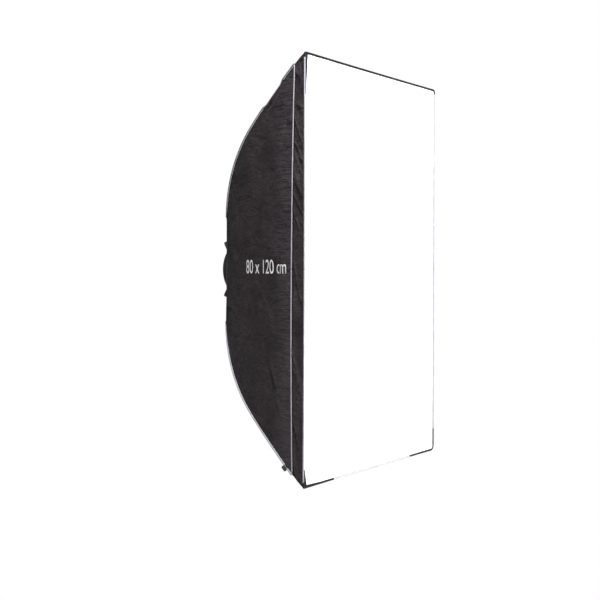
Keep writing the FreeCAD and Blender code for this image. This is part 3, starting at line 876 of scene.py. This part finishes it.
# ---- seams and trims ----
def seam_run(side, sign):
    """Places (k, s) of the stitches beside a corner seam."""
    run = []
    s = REAR_EDGE + 0.02
    while s < S3 - LIP_AT[end_of(side, sign)] - 0.012:
        run.append((sign * (1 - SEAM_STITCH_IN / half_length(side, s)), s))
        s += STITCH
    return run


def cross_run(side, sign, about, line):
    """Places of the stitches on half a line across a side, at lengths line(k) that are about a given one."""
    count = int(half_length(side, about) / STITCH)
    ks = [sign * (i + 0.5) / count for i in range(count)]
    return [(k, line(k)) for k in ks]


def stitches(name, sheet, run, off=0.0002):
    """A row of short lengths of thread on a sheet; each is a low four-sided bar."""
    points, faces, uvs = [], [], []
    places = [sheet.at(k, s, off) for k, s in run]
    for i, (middle, normal) in enumerate(places):
        ahead = places[min(i + 1, len(places) - 1)][0] - places[max(i - 1, 0)][0]
        ahead = ahead / np.linalg.norm(ahead)
        aside = np.cross(normal, ahead) * 0.0003
        for end, high in ((-0.0019, -0.0004), (-0.0010, 0.0003), (0.0010, 0.0003), (0.0019, -0.0004)):
            for turn in (-1, 1):
                points.append(middle + ahead * end + normal * high + aside * turn)
                uvs.append((turn * 0.0003, end))
        first = 8 * i
        faces += [(first + 2 * q, first + 2 * q + 1, first + 2 * q + 3, first + 2 * q + 2) for q in range(3)]
    return new_piece(name, points, faces, uvs, (THREAD,))


def make_corner_piping():
    """Piping over the corner seams, from the rear hem to the lip; the lip's own corner has none."""
    for corner, (cx, cz) in CORNERS.items():
        dent = DENT_DEPTH if corner == "upper_left" else 0.0
        path = []
        for s in np.linspace(REAR_EDGE, S3 - LIP_AT[corner], 150):
            sink = dent * ease((s - DENT[0]) / 0.03) * ease((DENT[1] - s) / 0.03)
            r, y, _ = bow(s, PIPING_OFF - sink)
            path.append((cx * r * HALF_W / HALF_D, y, cz * r * HALF_H / HALF_D))
        piece = tube("corner_piping_" + corner, path, PIPING_R, PIPING)
        follow(stand_for(piece, "corner_piping"), *corner_sides(corner)[0])


def front_path(side, sign, first, last, count):
    """Points just in front of the shell's front edge, between two places of half a side."""
    ahead = np.array((0.0, -PIPING_R - 0.0003, 0.0))
    return [LIPS[side].at(sign * k, S3, -0.0004)[0] + ahead for k in np.linspace(first, last, count)]


def make_cross_piping():
    """Piping over the lips' seams and round the front edge, half a side at a time, with its black trims and
    the black painted shade along the top.
    """
    for corner in CORNERS:
        for side, sign in corner_sides(corner):
            cap_from = 1 - CAPS_AND_TOP_SHADE.get((side, corner), CAP) / half_length(side, S3)
            pieces = [lip_piping(side, corner, sign), black_cap_and_top_shade(side, corner, sign, cap_from)]
            if (side, corner) in BINDINGS:
                pieces.append(binding(side, corner, sign))
            if cap_from > 0.01:  # the top's caps, painted shade along its whole length, leave no room for pale piping
                pieces.append(front_piping(side, corner, sign, cap_from))
            for piece in pieces:
                follow(piece, side, sign)


def lip_piping(side, corner, sign):
    """Piping over half of a lip's seam."""
    ks = np.linspace(0, 1 - 0.003 / half_length(side, S3), 110)
    path = [LIPS[side].at(sign * k, lip_line(side, sign * k), 0.0011)[0] for k in ks]
    piece = tube(f"lip_piping_{side}_{corner}", path, LIP_PIPING_R, PIPING)
    return stand_for(piece, "lip_piping")


def black_cap_and_top_shade(side, corner, sign, cap_from):
    """A black tube over the front piping, from a place of half a side to its corner; along the top it is
    painted shade.
    """
    path = front_path(side, sign, cap_from, 1, 60)
    piece = tube(f"corner_cap_{side}_{corner}", path, PIPING_R * 1.15, PILE)
    return stand_for(piece, "front_piping")


def front_piping(side, corner, sign, cap_from):
    """Pale piping round the front edge, from the side's middle to the cap; the bottom's is a lighter copy of
    the tape, painted light where light from above falls on it.
    """
    path = front_path(side, sign, 0, cap_from, 110)
    # Painted light: the bottom's front piping takes the lighter copy of the same tape.
    material = PAINTED_LIT_PIPING if side == "bottom" else PIPING
    piece = tube(f"front_piping_{side}_{corner}", path, PIPING_R, material)
    return stand_for(piece, "front_piping")


def binding(side, corner, sign):
    """Black tape that binds the front edge near a corner, tapering away from it."""
    length, wide = BINDINGS[side, corner]
    full = half_length(side, S3)
    inward = -place(side, 1.0, 0.0, 0.0)

    def at(i, j):
        k = 1 - length / full * i
        edge, _ = LIPS[side].at(sign * k, S3, 0.0)
        across = wide * (1 - 0.6 * i) * j
        edge[1] += 0.0008 * j - 0.0034
        return edge + inward * (0.0005 + across), (k * full, across)

    points, flat = grid_of(24, 2, at)
    normals = np.tile((0.0, -1.0, 0.0), (25, 3, 1))
    tape = cloth_piece(f"binding_{side}_{corner}", points, flat, normals, 0.0006, PILE, PILE)
    return stand_for(tape, "front_piping")


def corner_axes(corner):
    """Unit vectors out to a corner and square to that, in the X-Z plane."""
    cx, cz = CORNERS[corner]
    out = np.array((cx * HALF_W, 0.0, cz * HALF_H)) / HALF_D
    return out, np.array((-out[2], 0.0, out[0]))


def make_pull_tab():
    """A small loop of webbing sewn into the lower left corner seam, just behind the lip."""
    out, aside = corner_axes("lower_left")

    def at(i, j):
        s = LIP_START - 0.046 + 0.016 * j
        r, y, angle = bow(s, SEAM_OFF)
        turn = math.pi * (2 * i - 1)
        high = 0.0070 * (1 + math.cos(turn)) - 0.001
        wide = 0.0032 * math.sin(turn) * (1 + 0.4 * math.cos(turn))
        point = out * (r + high * math.cos(angle)) + aside * wide
        point[1] = y + high * math.sin(angle)
        return point, (s, 0.036 * i)

    points, flat = grid_of(24, 6, at)
    piece = cloth_piece("pull_tab_loop", points, flat, facing(points, out), 0.0010, WEBBING, WEBBING)
    follow(stand_for(piece, "pull_tab"), "left", -1)


def make_size_mark():
    """The box's size in centimetres, printed on the left panel."""
    curve = bpy.data.curves.new("size_mark", "FONT")
    curve.body = "80 x 120 cm"
    curve.size = 0.058
    text = add_object("size_mark", curve)
    outline = bpy.data.meshes.new_from_object(text.evaluated_get(bpy.context.evaluated_depsgraph_get()))
    points = np.array([v.co for v in outline.vertices])
    faces = [tuple(p.vertices) for p in outline.polygons]
    bpy.data.objects.remove(text)
    places = points[:, (1, 0)] + MARK_AT
    raised = [PANELS["left"].at(across / half_length("left", s), s, 0.0003)[0] for across, s in places]
    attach(new_piece("size_mark_print", raised, faces, places, (INK,)), "speed_ring")


def make_flaps():
    """Rear flaps: cloth from the panels' rear edge down to the ring, with a hem along the ring."""
    for side, (sx, _) in SIDES.items():
        low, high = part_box(side + "_flap")
        sizes = np.abs((low, high)).max(axis=0)
        reach, half = (sizes[0], sizes[2]) if sx else (sizes[2], sizes[0])
        front, rear = low[1] + 0.001, high[1] - 0.001

        def at(i, j):
            k = 2 * j - 1
            wide = half * (1 - FLAP_TAPER * i)
            wave = 0.0016 * noise.noise(Vector((k * half * 30, i * 4, reach))) * ease(4 * i) * ease(4 - 4 * i)
            hem = 0.0010 if i > 0.9 else 0.0
            y = front + (rear - front) * i - wave - hem - 0.0006
            return place(side, reach + (FLAP_INNER - reach) * i, y, k * wide), (k * wide, i * 0.09)

        points, flat = grid_of(30, 60, at)
        normals = facing(points, (0.0, 1.0, 0.0))
        piece = cloth_piece(side + "_flap_cloth", points, flat, normals, CLOTH, SHELL, LINING)
        stand_for(piece, side + "_flap")
        declare_sheet(piece, points)
        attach(piece, "speed_ring")


def make_inner_straps():
    """Webbing from the inner diffuser's corners out to the sliders."""
    _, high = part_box("inner_straps")
    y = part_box("strap_slider_upper_left")[0][1] + 0.0012
    start = math.hypot(INNER_HIGH[0], INNER_HIGH[2]) - 0.002
    end = math.hypot(high[0], high[2]) - 0.009
    for corner in CORNERS:
        out, aside = corner_axes(corner)

        def at(i, j):
            r = start + (end - start) * i
            across = STRAP_HALF * (2 * j - 1)
            point = out * r + aside * across
            point[1] = y + 0.0006 * math.sin(math.pi * i)
            return point, (across, r)

        points, flat = grid_of(24, 4, at)
        normals = np.tile((0.0, -1.0, 0.0), (25, 5, 1))
        piece = cloth_piece("inner_strap_" + corner, points, flat, normals, 0.0012, WEBBING, WEBBING)
        stand_for(piece, "inner_straps")
        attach(piece, "speed_ring")
        squash_flat(piece)


# ---- carried-over nodes ----
def dress(node, material):
    """Gives a CAD node its finish."""
    node.data.materials.clear()
    node.data.materials.append(material)
    node.data.polygons.foreach_set("use_smooth", [True] * len(node.data.polygons))
    edges = node.modifiers.new("edges", "EDGE_SPLIT")
    edges.split_angle = math.radians(32)


def dress_hardware():
    """Finishes the CAD nodes that stay: each row has the start of corner nodes' names, then single names."""
    bare = turned_material("turned_aluminium", (0.62, 0.63, 0.65), 0.30)
    steel = turned_material("plated_steel", (0.50, 0.50, 0.51), 0.26)
    knob = moulded_material("knob_plastic", (0.010, 0.010, 0.011), (0.020, 0.020, 0.021), 0.48, 0.00006)
    rubber = moulded_material("tip_rubber", (0.009, 0.009, 0.009), (0.018, 0.018, 0.018), 0.75, 0.00010)
    pocket = moulded_material("pocket_webbing", (0.010, 0.010, 0.011), (0.022, 0.021, 0.023), 0.7, 0.00030)
    finishes = ((anodised_material(), "rod_socket", "speed_ring"),
                (bare, "rod_ferrule", "bayonet_insert", "retaining_ring"),
                (steel, "socket_screw", "retaining_screws", "pivot_pins", "lock_stud"),
                (knob, "strap_slider", "lock_knob", "lock_tip", "friction_washer", "pivot_washers"),
                (rubber, "rod_tip"),
                (fibre_material(), "rod"),
                (pocket, "corner_pocket"))
    for material, start, *single in finishes:
        for name in single + [f"{start}_{corner}" for corner in CORNERS]:
            dress(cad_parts[name], material)


# ---- diffusers ----
def squash_flat(piece):
    """Gives a diffuser piece a mesh of its own."""
    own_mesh(piece)


def make_diffuser(node, low, high, y, counts, lift, material, rides):
    """A sheet in the X-Z plane at y, with lift towards -Y; its u and v are 0 at the edges and 1 midway."""
    def at(i, j):
        x = low[0] + (high[0] - low[0]) * j
        z = low[2] + (high[2] - low[2]) * i
        u, v = 1 - (x / high[0]) ** 2, 1 - (z / high[2]) ** 2
        return (x, y - lift(x, z, u, v), z), (x, z)

    points, flat = grid_of(*counts, at)
    normals = facing(points, (0.0, -1.0, 0.0))
    piece = cloth_piece(node + "_sheet", points, flat, normals, DIFFUSER, material, material)
    stand_for(piece, node)
    declare_sheet(piece, points)
    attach(piece, rides)
    squash_flat(piece)


def front_lift(x, z, u, v):
    """The front diffuser's forward bulge, with small pleats along its edges."""
    soft = 0.0012 * noise.noise(Vector((x * 6, z * 5, 2.2)))
    pleat = 0.0008 * noise.noise(Vector((x * 60, z * 6, 4.0))) * math.exp(-v * 12)
    pleat += 0.0008 * noise.noise(Vector((x * 6, z * 60, 5.0))) * math.exp(-u * 12)
    edge = min(1.0, 6 * min(u, v))
    return 0.001 + edge * (0.003 * u * v + soft) + pleat * min(1.0, 40 * min(u, v))


def inner_lift(x, z, u, v):
    """The inner diffuser's forward bulge."""
    return 0.004 * u * v + 0.003 * noise.noise(Vector((x * 6, z * 5, 7.7))) * min(1.0, 6 * min(u, v))


def make_diffusers():
    low, high = FRONT_LOW, FRONT_HIGH
    make_diffuser("front_diffuser", low, high, high[1] - 0.0004, (200, 140), front_lift, FRONT_CLOTH,
                  "front_diffuser")
    make_diffuser_border()
    low, high = INNER_LOW, INNER_HIGH
    make_diffuser("inner_diffuser", low, high, low[1] + 0.001, (110, 70), inner_lift, INNER_CLOTH,
                  "speed_ring")


def make_diffuser_border():
    """The front diffuser's own hook strips, folded back inside the lips."""
    for side in SIDES:
        ks = np.linspace(-0.985, 0.985, 121)
        lengths = np.linspace(S3 - 0.046, S3 - 0.018, 9)
        points = np.array([[on_side(side, k, s, SEAM_OFF - 0.0110)[0] for k in ks] for s in lengths])
        flat = np.array([[(k * half_length(side, s), s) for k in ks] for s in lengths])
        piece = cloth_piece(side + "_hook_strip", points, flat, outward_normals(points), TAPE, PILE, PILE)
        stand_for(piece, "diffuser_border")
        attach(piece, "front_diffuser")
        squash_flat(piece)


# ---- stage, light and camera ----
FLOOR_Z = -1.70
FLOOR_R = 1.9
AMBIENT = 0.11             # the world's light on the object; behind it the world shows full white
CAMERA_AT = (-3.012, -2.206, 0.011)
CAMERA_TURN = math.radians(-57.0)
LENS = 67.85
SHIFT_Y = -0.0565
CAMERA_ROLL = math.radians(-0.2)


def make_camera():
    data = bpy.data.cameras.new("camera")
    camera = add_object("camera", data)
    data.lens = LENS
    data.sensor_width = 36.0
    data.shift_y = SHIFT_Y
    camera.location = CAMERA_AT
    camera.rotation_euler = (math.radians(90), CAMERA_ROLL, CAMERA_TURN)
    bpy.context.scene.camera = camera


def area_light(name, at, aim, size, power):
    data = bpy.data.lights.new(name, "AREA")
    data.shape = "RECTANGLE"
    data.size, data.size_y = size
    data.energy = power
    light = add_object(name, data)
    light.location = at
    light.rotation_euler = (Vector(aim) - Vector(at)).to_track_quat("-Z", "Y").to_euler()


def make_floor():
    """A round pale floor that glows a little, close to the white around it."""
    s = Shader("floor_paint", 0.8)
    s.paint(s.colours(s.noise(s.space(), 0.8), times(0.88, WHITE), times(0.90, WHITE)))
    s.shader.inputs["Emission Color"].default_value = (1.0, 1.0, 1.0, 1.0)
    s.shader.inputs["Emission Strength"].default_value = 0.20
    turns = [2 * math.pi * i / 96 for i in range(96)]
    rim = [(FLOOR_R * math.cos(a), FLOOR_R * math.sin(a), FLOOR_Z) for a in turns]
    new_piece("floor", rim, [tuple(range(96))], [p[:2] for p in rim], (s.material,))


def make_world():
    """White behind the object, and a dimmer white that lights it."""
    world = bpy.data.worlds.new("studio")
    world.use_nodes = True
    nodes, links = world.node_tree.nodes, world.node_tree.links
    seen = nodes.new("ShaderNodeLightPath")
    dim = nodes.new("ShaderNodeMapRange")
    links.new(seen.outputs["Is Camera Ray"], dim.inputs["Value"])
    dim.inputs["To Min"].default_value = AMBIENT
    dim.inputs["To Max"].default_value = 1.0
    links.new(dim.outputs[0], nodes["Background"].inputs[1])
    nodes["Background"].inputs[0].default_value = (1.0, 1.0, 1.0, 1.0)
    scene = bpy.context.scene
    scene.world = world
    scene.view_settings.view_transform = "Standard"
    scene.view_settings.look = "None"


def make_lights():
    area_light("front_key", (1.8, -4.0, 2.4), (0, -0.5, 0), (2.0, 2.0), 420)
    area_light("front_left", (-2.3, -2.0, 2.5), (-0.35, -0.40, 0.0), (0.5, 0.5), 280)


make_camera()
make_floor()
make_world()
make_lights()
make_shell()
make_corner_piping()
make_cross_piping()
make_pull_tab()
make_size_mark()
make_flaps()
make_inner_straps()
make_diffusers()
dress_hardware()
